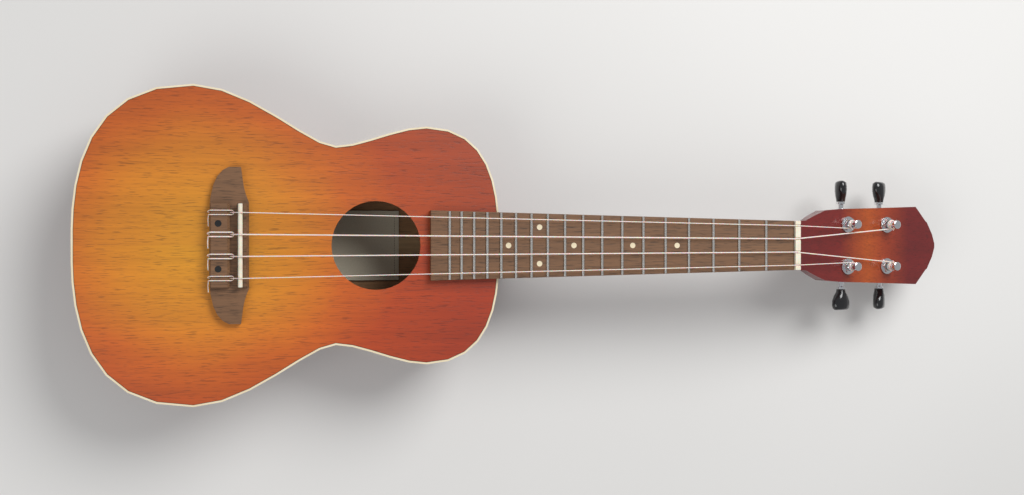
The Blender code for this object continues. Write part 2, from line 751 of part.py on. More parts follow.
def make_neck():
    joint_x = BODY_END_X + GAP
    rings = []
    heel = [(0, 1.0)]
    heel += [(HEEL_CAP_LENGTH + past, left) for past, left in HEEL_STATIONS]
    heel.append((HEEL_LENGTH, 0.0))
    for distance, left in heel:
        x = joint_x + distance
        depth = NECK_DEPTH_HEEL + (BODY_DEPTH - NECK_DEPTH_HEEL) * left
        squareness = NECK_SQUARENESS + HEEL_SQUARENESS_RISE * left
        ring = neck_ring(board_half(x), depth, squareness, HEEL_TAPER * left)
        rings.append([(x, y, BODY_DEPTH + z) for y, z in ring])
    for share in NECK_STATIONS:
        x = joint_x + HEEL_LENGTH + (NUT_X - joint_x - HEEL_LENGTH) * share
        depth = NECK_DEPTH_HEEL + (NECK_DEPTH_NUT - NECK_DEPTH_HEEL) * share
        ring = neck_ring(board_half(x), depth, NECK_SQUARENESS, 0)
        rings.append([(x, y, BODY_DEPTH + z) for y, z in ring])
    frame = head_frame()
    full_width = HEAD_PLAN[3][0]  # where the headstock has widened from the neck
    for distance, half in HEAD_PLAN:
        square = min(distance / full_width, 1.0)
        squareness = HEAD_SQUARENESS + HEAD_SQUARENESS_RISE * square**2
        ring = neck_ring(half, HEAD_THICKNESS, squareness, 0)
        rings.append([frame @ Vector((distance, y, z)) for y, z in ring])
    neck = add_object("neck", loft(rings), CHERRY)
    for name, post, side in posts():
        radius = POST_RADIUS + RUNNING + BUSHING_WALL + GAP
        bm = rod(radius, -1.5 * HEAD_THICKNESS, HEAD_THICKNESS / 2, TURN_POINTS)
        bm.transform(frame @ Matrix.Translation((post, side * POST_OFFSET, 0)))
        combine(neck, helper(f"post_hole_{name}", bm), "DIFFERENCE")


def posts():
    """(string, distance of its post from the nut, side of the centreline)"""
    for name, _, place, where, _ in COURSES:
        yield name, POST_NEAR if where == "near" else POST_FAR, 1 if place > 0 else -1


def hex_radius(turn):
    """Radius of a hexagon, measured across its corners, in this direction."""
    within = (turn % (math.pi / 3)) - math.pi / 6
    return HEX_RADIUS * math.cos(math.pi / 6) / math.cos(within)


def bushing_shape():
    """A sleeve through the headstock with a washer and a hexagon on its face."""
    bore = POST_RADIUS + RUNNING
    barrel = bore + BUSHING_WALL
    washer_top = GAP + WASHER_THICKNESS
    levels = (
        (bore, -HEAD_THICKNESS + GAP, False),
        (barrel, -HEAD_THICKNESS + GAP, False),
        (barrel, GAP, False),
        (WASHER_RADIUS, GAP, False),
        (WASHER_RADIUS, washer_top, False),
        (HEX_RADIUS, washer_top, True),
        (HEX_RADIUS, HEX_TOP, True),
        (bore, HEX_TOP, False),
    )
    count = 18
    turns = [2 * math.pi * i / count for i in range(count)]
    rings = []
    for turn in turns:
        ring = []
        for radius, z, is_hex in levels:
            reach = hex_radius(turn) if is_hex else radius
            ring.append((reach * math.cos(turn), reach * math.sin(turn), z))
        rings.append(ring)
    return loft(rings, closed=True)


def post_shape():
    """The post from the screw end in the housing up to its cap."""
    floor = HOUSING_FLOOR + 2 * GAP
    waist_low = HEX_TOP + GAP
    waist_high = POST_HEIGHT - POST_CAP_HEIGHT
    flare = POST_RADIUS - POST_WAIST_RADIUS
    hub = GEAR_RADIUS / 2
    profile = (
        (POST_RADIUS - flare, floor),
        (POST_RADIUS - flare, WORM_Z - GEAR_THICKNESS),
        (hub, WORM_Z - GEAR_THICKNESS),
        (hub, WORM_Z + GEAR_THICKNESS),
        (POST_RADIUS, WORM_Z + GEAR_THICKNESS + GAP),
        (POST_RADIUS, waist_low),
        (POST_WAIST_RADIUS, waist_low + flare),
        (POST_WAIST_RADIUS, waist_high - flare),
        (POST_CAP_RADIUS, waist_high),
        (POST_CAP_RADIUS, POST_HEIGHT - flare / 2),
        (POST_CAP_RADIUS - flare, POST_HEIGHT),
    )
    return turned(profile, TURN_POINTS)


def gear_shape():
    """The gear: each tooth leans by the worm's lead, and a gap between two faces the worm."""
    step = 2 * math.pi / GEAR_TEETH
    lead = WORM_PITCH / (2 * math.pi * WORM_RADIUS)
    rings = []
    for way in (-1, 1):
        twist = -way * lead * GEAR_THICKNESS / 2 / GEAR_RADIUS
        ring = []
        for tooth in range(GEAR_TEETH):
            middle = (tooth + 0.5) * step + twist
            for side, radius, width in (
                (-1, GEAR_RADIUS - TOOTH_DOWN, TOOTH_ROOT_WIDTH),
                (-1, GEAR_RADIUS + TOOTH_UP, TOOTH_TIP_WIDTH),
                (1, GEAR_RADIUS + TOOTH_UP, TOOTH_TIP_WIDTH),
                (1, GEAR_RADIUS - TOOTH_DOWN, TOOTH_ROOT_WIDTH),
            ):
                turn = middle + side * width / 2 / radius
                z = way * GEAR_THICKNESS / 2
                ring.append((radius * math.cos(turn), radius * math.sin(turn), z))
        rings.append(ring)
    return loft(rings)


def thread_shape():
    """The worm's right-hand thread, its crest facing the gear at the middle of its length."""
    half_steps = round(WORM_TURNS * WORM_POINTS / 2)
    root = WORM_RADIUS - THREAD_DOWN
    sunk = root - THREAD_SINK
    rings = []
    for i in range(-half_steps, half_steps + 1):
        turn = 2 * math.pi * i / WORM_POINTS
        middle = WORM_PITCH * i / WORM_POINTS
        # The direction of the gear is -X, and a turn about +Y carries -X towards +Z.
        out = Vector((-math.cos(turn), 0, math.sin(turn)))
        ends = 0.55 if abs(i) == half_steps else 1.0
        rings.append(
            [
                out * sunk + Vector((0, middle - THREAD_WIDTH * 0.75 * ends, 0)),
                out * (sunk + (WORM_OUTER - sunk) * ends)
                + Vector((0, middle - THREAD_WIDTH * 0.35 * ends, 0)),
                out * (sunk + (WORM_OUTER - sunk) * ends)
                + Vector((0, middle + THREAD_WIDTH * 0.35 * ends, 0)),
                out * sunk + Vector((0, middle + THREAD_WIDTH * 0.75 * ends, 0)),
            ]
        )
    return loft(rings)


def shaft_shape(side):
    """The worm's core, the shaft through the snout, the collar and the spindle in the button."""
    core = WORM_RADIUS - THREAD_DOWN
    reach = WORM_PITCH * WORM_TURNS / 2 + THREAD_WIDTH
    profile = (
        (SHAFT_RADIUS, -ROOM_HALF + GAP),
        (SHAFT_RADIUS, -reach - GAP),
        (core, -reach),
        (core, reach),
        (SHAFT_RADIUS, reach + GAP),
        (SHAFT_RADIUS, COLLAR_AT - COLLAR_THICKNESS / 2),
        (COLLAR_RADIUS, COLLAR_AT),
        (COLLAR_RADIUS, COLLAR_AT + COLLAR_THICKNESS),
        (SPINDLE_RADIUS, COLLAR_AT + COLLAR_THICKNESS),
        (SPINDLE_RADIUS, COLLAR_AT + COLLAR_THICKNESS + SPINDLE_LENGTH),
    )
    bm = turned(profile, WORM_POINTS, "Y")
    if side < 0:
        bm.transform(Matrix.Rotation(math.pi, 4, "Z"))
    return bm


def rounded_box(low, high, corner, z_low, z_high):
    """A box with round upright edges, between two plan corners."""
    plan = []
    for x, y, start in (
        (high[0] - corner, high[1] - corner, 0),
        (low[0] + corner, high[1] - corner, 90),
        (low[0] + corner, low[1] + corner, 180),
        (high[0] - corner, low[1] + corner, 270),
    ):
        for i in range(4):
            turn = math.radians(start + 30 * i)
            plan.append((x + corner * math.cos(turn), y + corner * math.sin(turn)))
    return prism(plan, z_low, z_high)


def housing_parts(side):
    """The gear case: its block, its lug and snout, and what is cut out of them."""
    far = WORM_T + WORM_OUTER + HOUSING_ROOM
    wall = HOUSING_WALL
    block = rounded_box(
        (-ROOM_HALF - wall, -ROOM_HALF - wall),
        (far + wall, ROOM_HALF + wall),
        HOUSING_CORNER,
        HOUSING_FLOOR - wall,
        HOUSING_TOP,
    )
    room = rounded_box(
        (-ROOM_HALF, -ROOM_HALF),
        (far, ROOM_HALF),
        HOUSING_CORNER - wall,
        HOUSING_FLOOR,
        HOUSING_TOP + wall,
    )
    lug_y = -side * (ROOM_HALF + wall + LUG_LENGTH)
    lug_x = WORM_T / 2
    inner_y = -side * (ROOM_HALF + wall / 2)
    lug = prism(
        [
            (lug_x - LUG_WIDTH / 2, inner_y),
            (lug_x - LUG_WIDTH / 2, lug_y + side * LUG_WIDTH / 3),
            (lug_x - LUG_WIDTH / 4, lug_y),
            (lug_x + LUG_WIDTH / 4, lug_y),
            (lug_x + LUG_WIDTH / 2, lug_y + side * LUG_WIDTH / 3),
            (lug_x + LUG_WIDTH / 2, inner_y),
        ],
        HOUSING_TOP - LUG_THICKNESS,
        HOUSING_TOP,
    )
    lug_hole = rod(LUG_HOLE_RADIUS, HOUSING_TOP - 2 * LUG_THICKNESS, HOUSING_TOP + MM, 8)
    lug_hole.transform(Matrix.Translation((lug_x, lug_y + side * LUG_WIDTH / 2, 0)))
    bore = SHAFT_RADIUS + RUNNING
    turn = Matrix.Rotation(0 if side > 0 else math.pi, 4, "Z")
    place = Matrix.Translation((WORM_T, 0, WORM_Z)) @ turn
    snout = rod(bore + SNOUT_WALL, ROOM_HALF + wall / 2, SNOUT_END, WORM_POINTS, "Y")
    snout.transform(place)
    way = rod(bore, ROOM_HALF - wall, SNOUT_END + wall, WORM_POINTS, "Y")
    way.transform(place)
    joined = (("lug", lug), ("snout", snout))
    cut = (("room", room), ("lug_hole", lug_hole), ("way", way))
    return block, joined, cut


def button_shape(side, turn):
    """A waisted paddle on the spindle, thickest across its middle, with a bore up its neck."""
    rings = []
    for share, wide, thick in BUTTON_STATIONS:
        half_wide = (BUTTON_NECK + (BUTTON_WIDTH - BUTTON_NECK) * wide) / 2
        half_thick = (BUTTON_NECK + (BUTTON_THICKNESS - BUTTON_NECK) * thick) / 2
        if share == 1.0:
            half_thick = BUTTON_NECK / 3
        y = BUTTON_AT + BUTTON_LENGTH * share
        rings.append(
            [
                (half_wide * math.cos(a), y, half_thick * math.sin(a))
                for a in (2 * math.pi * i / TURN_POINTS for i in range(TURN_POINTS))
            ]
        )
    bm = loft(rings)
    bm.transform(Matrix.Rotation(math.radians(turn), 4, "Y"))
    if side < 0:
        bm.transform(Matrix.Rotation(math.pi, 4, "Z"))
    bore = rod(
        SPINDLE_RADIUS + GAP,
        BUTTON_AT - MM,
        COLLAR_AT + COLLAR_THICKNESS + SPINDLE_LENGTH + GAP,
        WORM_POINTS,
        "Y",
    )
    if side < 0:
        bore.transform(Matrix.Rotation(math.pi, 4, "Z"))
    return bm, bore


def make_tuners():
    """Four worm machines, each on an empty at the foot of its post on the headstock's face."""
    for (name, post, side), course in zip(posts(), COURSES):
        seat = bpy.data.objects.new(f"tuner_{name}", None)
        bpy.context.scene.collection.objects.link(seat)
        seat.matrix_world = head_frame() @ Matrix.Translation((post, side * POST_OFFSET, 0))
        add_object(f"bushing_{name}", bushing_shape(), CHROME, seat)

        turning = add_object(f"post_{name}", post_shape(), CHROME, seat, smooth=True)
        gear = helper(f"gear_{name}", gear_shape(), seat, (0, 0, WORM_Z))
        combine(turning, gear, "UNION")
        hole_z, hole_turn = winding_end(course)
        bm = rod(POST_HOLE_RADIUS, -POST_CAP_RADIUS * 2, POST_CAP_RADIUS * 2, 8, "Y")
        bm.transform(Matrix.Rotation(hole_turn - math.pi / 2, 4, "Z"))
        combine(turning, helper(f"string_hole_{name}", bm, seat, (0, 0, hole_z)), "DIFFERENCE")

        block, joined, cut = housing_parts(side)
        case = add_object(f"housing_{name}", block, CHROME, seat)
        for label, shape in joined:
            combine(case, helper(f"{label}_{name}", shape, seat), "UNION")
        for label, shape in cut:
            combine(case, helper(f"{label}_{name}", shape, seat), "DIFFERENCE")

        on_axis = (WORM_T, 0, WORM_Z)
        shaft = add_object(f"worm_shaft_{name}", shaft_shape(side), CHROME, seat, on_axis)
        combine(shaft, helper(f"thread_{name}", thread_shape(), seat, on_axis), "UNION")
        paddle, bore = button_shape(side, course[4])
        button = add_object(f"button_{name}", paddle, BLACK, seat, on_axis, smooth=True)
        combine(button, helper(f"button_bore_{name}", bore, seat, on_axis), "DIFFERENCE")


def winding_start(course):
    """Where a string meets its post: centre of the post, radius, contact direction, sense."""
    _, diameter, place, where, _ = course
    sense = 1 if place > 0 else -1
    centre = Vector((POST_NEAR if where == "near" else POST_FAR, sense * POST_OFFSET))
    radius = POST_WAIST_RADIUS + GAP + diameter / 2
    leave = Vector((0, nut_y(place)))
    run = centre - leave
    lean = math.asin(radius / run.length)
    heading = math.atan2(run.y, run.x) - sense * lean
    return centre, radius, heading - sense * math.pi / 2, sense


def winding_end(course):
    """Height and direction of the hole that takes the string after its last turn."""
    diameter = course[1]
    _, _, contact, sense = winding_start(course)
    climb = (diameter + WINDING_GAP) * (WINDING_TURNS + 0.9)
    foot = HEX_TOP + GAP + WINDING_FOOT
    return foot + climb, contact + sense * (2 * math.pi * WINDING_TURNS + math.radians(62))


def smooth_curve(points, steps):
    """Points of a smooth curve through the given ones."""
    ends = [points[0] * 2 - points[1]] + points + [points[-1] * 2 - points[-2]]
    curve = []
    for a, b, c, d in zip(ends, ends[1:], ends[2:], ends[3:]):
        for i in range(steps):
            t = i / steps
            curve.append(
                0.5
                * (
                    2 * b
                    + (c - a) * t
                    + (2 * a - 5 * b + 4 * c - d) * t * t
                    + (3 * b - a - 3 * c + d) * t**3
                )
            )
    curve.append(points[-1])
    return curve


def tie_route(course):
    """From the tail behind the tie block, over it, round the string and back, and out of the hole."""
    _, diameter, place, _, _ = course
    clear = GAP + diameter / 2
    y = saddle_y(place)
    over = TIE_TOP + clear + 0.1 * MM
    behind = TIE_BACK_X - clear - 0.3 * MM
    side = TIE_OFFSET
    low = BRIDGE_TOP + clear + 0.05 * MM
    loop_x = TIE_FRONT_X + 2.3 * MM
    points = [
        (behind, -TIE_TAIL, low + 0.6 * MM),
        (behind - 0.2 * MM, -0.55 * TIE_TAIL, low + 0.9 * MM),
        (behind, -side - 0.8 * MM, low + 2.0 * MM),
        (behind + 0.2 * MM, -side, TIE_TOP - 0.7 * MM),
        (TIE_BACK_X + 0.7 * MM, -side, over + 0.1 * MM),
        (TIE_BACK_X + 3.0 * MM, -side, over),
        (TIE_FRONT_X - 3.0 * MM, -side, over),
        (TIE_FRONT_X - 0.4 * MM, -side, over - 0.1 * MM),
        (TIE_FRONT_X + 1.3 * MM, -side, TIE_TOP - 1.3 * MM),
        (loop_x, -0.5 * side, low + 0.2 * MM),
        (loop_x + 0.1 * MM, 0.5 * side, low + 0.2 * MM),
        (TIE_FRONT_X + 1.3 * MM, side, TIE_TOP - 1.3 * MM),
        (TIE_FRONT_X - 0.4 * MM, side, over - 0.1 * MM),
        (TIE_FRONT_X - 3.0 * MM, side, over),
        (TIE_BACK_X + 3.0 * MM, side, over),
        (TIE_BACK_X + 0.7 * MM, side, over + 0.1 * MM),
        (behind + 0.2 * MM, 0.8 * side, TIE_TOP - 0.7 * MM),
        (behind - 0.3 * MM, 0.25 * side, TIE_HOLE_Z + 0.7 * MM),
        (TIE_BACK_X + 1.0 * MM, 0, TIE_HOLE_Z),
    ]
    return smooth_curve([Vector((x, y + across, z)) for x, across, z in points], 2)


def string_route(course):
    name, diameter, place, _, _ = course
    half = diameter / 2
    points = tie_route(course)
    y = saddle_y(place)
    entry = [
        Vector((TIE_FRONT_X - 3.0 * MM, y, TIE_HOLE_Z)),
        Vector((TIE_FRONT_X - 0.3 * MM, y, TIE_HOLE_Z + 0.1 * MM)),
        Vector((TIE_FRONT_X + 1.5 * MM, y, TIE_HOLE_Z + 1.4 * MM)),
    ]
    radius = SADDLE_THICKNESS / 2
    around = radius + GAP + half
    down = math.atan2(
        SADDLE_TOP - radius - entry[-1].z + around / 2, -entry[-1].x - around / 2
    )
    crown = []
    for i in range(5):
        turn = math.pi / 2 + down * (1 - i / 4)
        crown.append(
            Vector((around * math.cos(turn), y, SADDLE_TOP - radius + around * math.sin(turn)))
        )
    points += smooth_curve(entry + crown, 2)

    at_nut = Vector((NUT_X, nut_y(place), STRING_AT_NUT + half))
    points.append(at_nut)
    centre, wind_radius, contact, sense = winding_start(course)
    frame = head_frame()
    foot = HEX_TOP + GAP + WINDING_FOOT
    pitch = diameter + WINDING_GAP
    touch = frame @ Vector(
        (
            centre.x + wind_radius * math.cos(contact),
            centre.y + wind_radius * math.sin(contact),
            foot,
        )
    )
    points.append(at_nut + (touch - at_nut) * (NUT_LENGTH / (touch.x - at_nut.x)))
    coil = []
    steps = round(WINDING_TURNS * WINDING_POINTS)
    for i in range(steps + 1):
        turn = contact + sense * 2 * math.pi * i / WINDING_POINTS
        coil.append(
            Vector(
                (
                    centre.x + wind_radius * math.cos(turn),
                    centre.y + wind_radius * math.sin(turn),
                    foot + pitch * i / WINDING_POINTS,
                )
            )
        )
    hole_z, hole_turn = winding_end(course)
    into = Vector((math.cos(hole_turn), math.sin(hole_turn), 0))
    middle = Vector((centre.x, centre.y, hole_z))
    last = contact + sense * 2 * math.pi * WINDING_TURNS
    swing = last + sense * math.radians(32)
    bend = Vector((math.cos(swing), math.sin(swing), 0)) * (wind_radius + 0.25 * MM)
    entering = [
        coil[-1],
        Vector((centre.x, centre.y, hole_z - pitch * 0.3)) + bend,
        middle + into * (wind_radius + 0.1 * MM),
        middle + into * (POST_WAIST_RADIUS - 0.6 * MM),
        middle - into * (POST_WAIST_RADIUS + 0.5 * MM),
        middle - into * (POST_WAIST_RADIUS + STRING_TAIL),
    ]
    coil += smooth_curve(entering, 3)[1:]
    report_gap(name, coil, diameter)
    return points + [frame @ point for point in coil]


def report_gap(name, points, diameter):
    """Prints the least gap between parts of a winding that are over a third of a turn apart."""
    least = min(
        (a - b).length - diameter
        for i, a in enumerate(points)
        for b in points[i + WINDING_POINTS // 3 :]
    )
    print(f"string_{name}: winding's least gap to itself {least / MM:.2f} mm")


def make_strings():
    for course in COURSES:
        name, diameter = course[:2]
        curve = bpy.data.curves.new(f"string_{name}", "CURVE")
        curve.dimensions = "3D"
        curve.bevel_depth = diameter / 2
        curve.bevel_resolution = 1
        curve.use_fill_caps = True
        spline = curve.splines.new("POLY")
        route = string_route(course)
        spline.points.add(len(route) - 1)
        for point, place in zip(spline.points, route):
            point.co = (*place, 1)
        curve.materials.append(material(NYLON))
        made = bpy.data.objects.new(f"string_{name}", curve)
        bpy.context.scene.collection.objects.link(made)


clear_scene()
make_plates()
make_rims()
make_block("neck_block", True, NECK_BLOCK_LENGTH, NECK_BLOCK_WIDTH)
make_block("tail_block", False, TAIL_BLOCK_LENGTH, TAIL_BLOCK_WIDTH)
make_bracing()
make_bridge()
make_fingerboard()
make_nut()
make_neck()
make_tuners()
make_strings()
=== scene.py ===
import json
import math

import bmesh
import bpy
from mathutils import Matrix, Vector

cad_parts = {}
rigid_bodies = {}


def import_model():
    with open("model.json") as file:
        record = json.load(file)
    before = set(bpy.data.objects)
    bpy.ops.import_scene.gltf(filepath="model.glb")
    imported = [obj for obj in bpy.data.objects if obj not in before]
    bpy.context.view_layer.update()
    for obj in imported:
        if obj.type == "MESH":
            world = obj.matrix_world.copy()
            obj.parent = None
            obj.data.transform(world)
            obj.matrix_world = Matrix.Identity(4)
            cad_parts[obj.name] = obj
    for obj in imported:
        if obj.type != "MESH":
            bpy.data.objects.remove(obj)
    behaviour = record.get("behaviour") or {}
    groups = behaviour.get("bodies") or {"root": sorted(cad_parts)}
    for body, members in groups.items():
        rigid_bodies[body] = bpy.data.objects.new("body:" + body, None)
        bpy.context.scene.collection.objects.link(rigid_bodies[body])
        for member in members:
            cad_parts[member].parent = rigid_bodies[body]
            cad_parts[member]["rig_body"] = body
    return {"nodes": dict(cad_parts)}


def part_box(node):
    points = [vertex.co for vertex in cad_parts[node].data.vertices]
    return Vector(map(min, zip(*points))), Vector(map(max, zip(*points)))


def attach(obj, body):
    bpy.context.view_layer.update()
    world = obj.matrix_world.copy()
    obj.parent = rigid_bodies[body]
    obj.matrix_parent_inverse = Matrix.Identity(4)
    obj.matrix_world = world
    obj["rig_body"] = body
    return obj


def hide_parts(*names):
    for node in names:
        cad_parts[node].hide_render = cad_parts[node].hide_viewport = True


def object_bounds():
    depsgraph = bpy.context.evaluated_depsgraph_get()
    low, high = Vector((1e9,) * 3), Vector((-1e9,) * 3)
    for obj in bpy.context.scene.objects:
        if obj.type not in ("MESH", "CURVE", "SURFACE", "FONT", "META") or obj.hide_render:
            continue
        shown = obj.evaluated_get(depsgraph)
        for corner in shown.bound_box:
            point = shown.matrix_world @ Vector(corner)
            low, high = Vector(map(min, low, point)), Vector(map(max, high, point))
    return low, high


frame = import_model()
cad_low, cad_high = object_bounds()
MM = 0.001

# Sound box: plates, sides, linings, blocks and bracing.
# The plates and sides are thin mahogany under a satin stain, a sunburst on the top;
# the linings, blocks and braces are bare spruce glued inside.


def add_node(tree, kind, inputs=None, **settings):
    """One shader node, with its settings, and its inputs linked or set."""
    made = tree.nodes.new(kind)
    for name, value in settings.items():
        setattr(made, name, value)
    for name, value in (inputs or {}).items():
        socket = made.inputs[name]
        if isinstance(value, bpy.types.NodeSocket):
            tree.links.new(value, socket)
        else:
            socket.default_value = value
    return made


def new_material(name, roughness, **values):
    """A material with a Principled shader whose plain values are set by input name."""
    made = bpy.data.materials.new(name)
    made.use_nodes = True
    shader = made.node_tree.nodes["Principled BSDF"]
    shader.inputs["Roughness"].default_value = roughness
    for label, value in values.items():
        shader.inputs[label.replace("_", " ")].default_value = value
    return made, made.node_tree, shader


def new_group(name, inputs, outputs):
    """An empty node group with named sockets, and its input and output nodes."""
    group = bpy.data.node_groups.new(name, "ShaderNodeTree")
    for label, kind in inputs:
        group.interface.new_socket(label, in_out="INPUT", socket_type=kind)
    for label in outputs:
        group.interface.new_socket(label, in_out="OUTPUT", socket_type="NodeSocketFloat")
    given = group.nodes.new("NodeGroupInput")
    result = group.nodes.new("NodeGroupOutput")
    return group, given, result


def make_cloud_group():
    """Soft uneven patches: the bare noise, and a mask with its middle range spread out."""
    group, given, result = new_group(
        "cloud",
        (
            ("Coordinates", "NodeSocketVector"),
            ("Scale", "NodeSocketFloat"),
            ("Detail", "NodeSocketFloat"),
        ),
        ("Noise", "Mask"),
    )
    noise = add_node(
        group,
        "ShaderNodeTexNoise",
        {
            "Vector": given.outputs["Coordinates"],
            "Scale": given.outputs["Scale"],
            "Detail": given.outputs["Detail"],
        },
    )
    mask = add_node(
        group,
        "ShaderNodeMapRange",
        {"Value": noise.outputs["Fac"], "From Min": 0.3, "From Max": 0.7},
    )
    group.links.new(noise.outputs["Fac"], result.inputs["Noise"])
    group.links.new(mask.outputs["Result"], result.inputs["Mask"])
    return group


def make_grain_group():
    """Masks of wood grain that runs along X: broad figure, fine streaks and open pores."""
    group, given, result = new_group(
        "wood_grain",
        (("Coordinates", "NodeSocketVector"), ("Wander", "NodeSocketFloat")),
        ("Figure", "Streaks", "Pores"),
    )
    bend = add_node(
        group,
        "ShaderNodeTexNoise",
        {"Vector": given.outputs["Coordinates"], "Scale": 7.0, "Detail": 1.0},
    )
    centred = add_node(
        group,
        "ShaderNodeVectorMath",
        {0: bend.outputs["Color"], 1: (0.5, 0.5, 0.5)},
        operation="SUBTRACT",
    )
    pulled = add_node(
        group,
        "ShaderNodeVectorMath",
        {0: centred.outputs["Vector"], "Scale": given.outputs["Wander"]},
        operation="SCALE",
    )
    wandering = add_node(
        group,
        "ShaderNodeVectorMath",
        {0: given.outputs["Coordinates"], 1: pulled.outputs["Vector"]},
        operation="ADD",
    )
    for name, stretch, detail, low, high in (
        ("Figure", (5.0, 70.0, 70.0), 3.0, 0.3, 0.7),
        ("Streaks", (14.0, 600.0, 600.0), 4.0, 0.3, 0.7),
        ("Pores", (110.0, 1500.0, 1500.0), 2.0, 0.56, 0.66),
    ):
        stretched = add_node(
            group,
            "ShaderNodeVectorMath",
            {0: wandering.outputs["Vector"], 1: stretch},
            operation="MULTIPLY",
        )
        noise = add_node(
            group,
            "ShaderNodeTexNoise",
            {"Vector": stretched.outputs["Vector"], "Scale": 1.0, "Detail": detail},
        )
        mask = add_node(
            group,
            "ShaderNodeMapRange",
            {"Value": noise.outputs["Fac"], "From Min": low, "From Max": high},
        )
        group.links.new(mask.outputs["Result"], result.inputs[name])
    return group


cloud_group = make_cloud_group()
grain_group = make_grain_group()


def object_coordinates(tree):
    return add_node(tree, "ShaderNodeTexCoord").outputs["Object"]


def cloud(tree, scale, detail):
    """The cloud group placed in a material, on its piece's own coordinates."""
    return add_node(
        tree,
        "ShaderNodeGroup",
        {"Coordinates": object_coordinates(tree), "Scale": scale, "Detail": detail},
        node_tree=cloud_group,
    )


def colour_ramp(tree, factor, stops):
    """The colour of a ramp from (place, colour) pairs."""
    ramp = add_node(tree, "ShaderNodeValToRGB", {"Fac": factor})
    elements = ramp.color_ramp.elements
    for element, (place, colour) in zip(elements, (stops[0], stops[-1])):
        element.position = place
        element.color = (*colour, 1)
    for place, colour in stops[1:-1]:
        elements.new(place).color = (*colour, 1)
    return ramp.outputs["Color"]


def mix_colour(tree, factor, first, second, blend="MIX"):
    """One colour mixed with another; each may be a socket or a plain colour."""
    mix = add_node(tree, "ShaderNodeMix", data_type="RGBA", blend_type=blend)
    sockets = (mix.inputs[0], mix.inputs[6], mix.inputs[7])
    for socket, value in zip(sockets, (factor, first, second)):
        if isinstance(value, bpy.types.NodeSocket):
            tree.links.new(value, socket)
        elif socket.type == "RGBA":
            socket.default_value = (*value, 1)
        else:
            socket.default_value = value
    return mix.outputs[2]


def maths(tree, operation, *values):
    """The result of a Math node on sockets or plain numbers."""
    made = add_node(tree, "ShaderNodeMath", dict(enumerate(values)), operation=operation)
    return made.outputs["Value"]


def add_grain(tree, shader, colour, wander, figure, streaks, pores, pore_depth):
    """Grain drawn over a base colour, with its pores as small dents."""
    coordinates = object_coordinates(tree)
    grain = add_node(tree, "ShaderNodeGroup", node_tree=grain_group)
    tree.links.new(coordinates, grain.inputs["Coordinates"])
    grain.inputs["Wander"].default_value = wander
    for name, share, shade in (
        ("Figure", figure, 0.45),
        ("Streaks", streaks, 0.35),
        ("Pores", pores, 0.12),
    ):
        dark = mix_colour(tree, 1.0, colour, (shade,) * 3, "MULTIPLY")
        mask = maths(tree, "MULTIPLY", grain.outputs[name], share)
        colour = mix_colour(tree, mask, colour, dark)
    tree.links.new(colour, shader.inputs["Base Color"])
    dents = add_node(
        tree,
        "ShaderNodeBump",
        {"Height": grain.outputs["Pores"], "Strength": 0.5, "Distance": pore_depth},
        invert=True,
    )
    tree.links.new(dents.outputs["Normal"], shader.inputs["Normal"])


def sunburst_material():
    """Yellow in the middle of the lower bout, through orange to crimson at the rim."""
    to_centre, fade = (22 * MM, -4 * MM, 0.0), (8.2, 9.0, 0.0)
    unevenness, seam_blur, second_board = 0.14, 0.2 * MM, 0.18
    made, tree, shader = new_material(
        "stained_sunburst", 0.38, Coat_Weight=0.35, Coat_Roughness=0.28
    )
    coordinates = object_coordinates(tree)
    moved = add_node(
        tree, "ShaderNodeVectorMath", {0: coordinates, 1: to_centre}, operation="ADD"
    )
    scaled = add_node(
        tree,
        "ShaderNodeVectorMath",
        {0: moved.outputs["Vector"], 1: fade},
        operation="MULTIPLY",
    )
    distance = add_node(
        tree, "ShaderNodeVectorMath", {0: scaled.outputs["Vector"]}, operation="LENGTH"
    )
    patches = cloud(tree, 26.0, 2.0).outputs["Noise"]
    uneven = maths(tree, "MULTIPLY_ADD", patches, unevenness, distance.outputs["Value"])
    half = maths(tree, "MULTIPLY", uneven, 0.5)
    burst = colour_ramp(
        tree,
        half,
        (
            (0.10, (0.80, 0.33, 0.012)),
            (0.28, (0.76, 0.25, 0.010)),
            (0.42, (0.66, 0.13, 0.008)),
            (0.56, (0.50, 0.060, 0.007)),
            (0.78, (0.40, 0.040, 0.008)),
        ),
    )
    # The top is two boards joined along the middle, one a little darker.
    split = add_node(tree, "ShaderNodeSeparateXYZ", {"Vector": coordinates})
    upper_half = add_node(
        tree,
        "ShaderNodeMapRange",
        {"Value": split.outputs["Y"], "From Min": -seam_blur, "From Max": seam_blur},
    )
    share = maths(tree, "MULTIPLY", upper_half.outputs["Result"], second_board)
    joined = mix_colour(tree, share, burst, (0.42, 0.11, 0.012))
    add_grain(tree, shader, joined, 0.004, 0.30, 0.22, 0.42, 0.05 * MM)
    return made


def cherry_material():
    """Dark red stain, with the orange band that crosses the headstock."""
    made, tree, shader = new_material(
        "cherry_stain", 0.34, Coat_Weight=0.5, Coat_Roughness=0.2
    )
    split = add_node(
        tree, "ShaderNodeSeparateXYZ", {"Vector": object_coordinates(tree)}
    )
    nut_front, head_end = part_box("nut")[1].x, cad_high.x
    along = add_node(
        tree,
        "ShaderNodeMapRange",
        {"Value": split.outputs["X"], "From Min": nut_front, "From Max": head_end},
    )
    stain = colour_ramp(
        tree,
        along.outputs["Result"],
        (
            (0.0, (0.17, 0.010, 0.010)),
            (0.30, (0.20, 0.012, 0.008)),
            (0.50, (0.48, 0.085, 0.008)),
            (0.62, (0.36, 0.045, 0.008)),
            (0.80, (0.17, 0.010, 0.009)),
        ),
    )
    add_grain(tree, shader, stain, 0.004, 0.35, 0.25, 0.35, 0.04 * MM)
    return made


